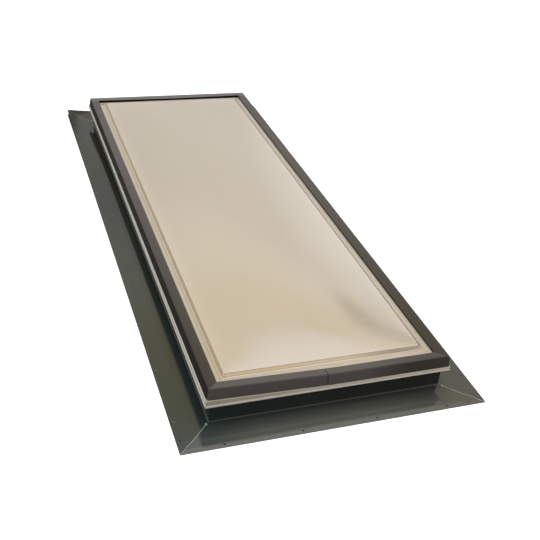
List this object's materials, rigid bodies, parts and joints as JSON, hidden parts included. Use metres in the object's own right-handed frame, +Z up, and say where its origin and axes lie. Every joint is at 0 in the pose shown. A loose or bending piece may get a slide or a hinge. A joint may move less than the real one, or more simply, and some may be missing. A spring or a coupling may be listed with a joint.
{
  "type": "roof skylight",
  "caption": "Fixed roof skylight with nailing flange, curb wall, vinyl frame, two low acrylic domes and a folded metal cap; it covers a rectangular opening in a roof deck.",
  "frame": {"origin": "centre of the nailing flange's underside, on the roof deck", "axes": "+Z up, away from the deck; +Y along the length, towards the back; +X to the right, seen from the front"},
  "size_m": [0.8338, 2.0532, 0.1335],
  "materials": {
    "flashing": "semi-gloss baked enamel, dark bronze",
    "weld_bead": "bare, as deposited",
    "sealant": "smooth cured sealant",
    "vinyl": "satin extruded vinyl, tan",
    "tape": "closed-cell foam tape",
    "inner_acrylic": "formed white acrylic, gloss",
    "outer_acrylic": "formed bronze acrylic, gloss",
    "gasket": "black rubber",
    "splice": "mill finish",
    "cap": "satin baked enamel, brown"
  },
  "bodies": {
    "root": {"flashing_front": "flashing", "flashing_back": "flashing", "flashing_left": "flashing", "flashing_right": "flashing", "weld_bead_front_left": "weld_bead", "weld_bead_front_right": "weld_bead", "weld_bead_back_left": "weld_bead", "weld_bead_back_right": "weld_bead", "sealant_dab_front_left": "sealant", "sealant_dab_front_right": "sealant", "sealant_dab_back_left": "sealant", "sealant_dab_back_right": "sealant", "frame_rail_front": "vinyl", "frame_rail_back": "vinyl", "frame_rail_left": "vinyl", "frame_rail_right": "vinyl", "bedding_tape_front": "tape", "bedding_tape_back": "tape", "bedding_tape_left": "tape", "bedding_tape_right": "tape", "inner_dome": "inner_acrylic", "spacer_tape_front": "tape", "spacer_tape_back": "tape", "spacer_tape_left": "tape", "spacer_tape_right": "tape", "outer_dome": "outer_acrylic", "cap_gasket_front": "gasket", "cap_gasket_back": "gasket", "cap_gasket_left": "gasket", "cap_gasket_right": "gasket", "cap_splice_front": "splice", "cap_splice_back": "splice", "cap_left": "cap", "cap_right": "cap"}
  },
  "joints": []
}
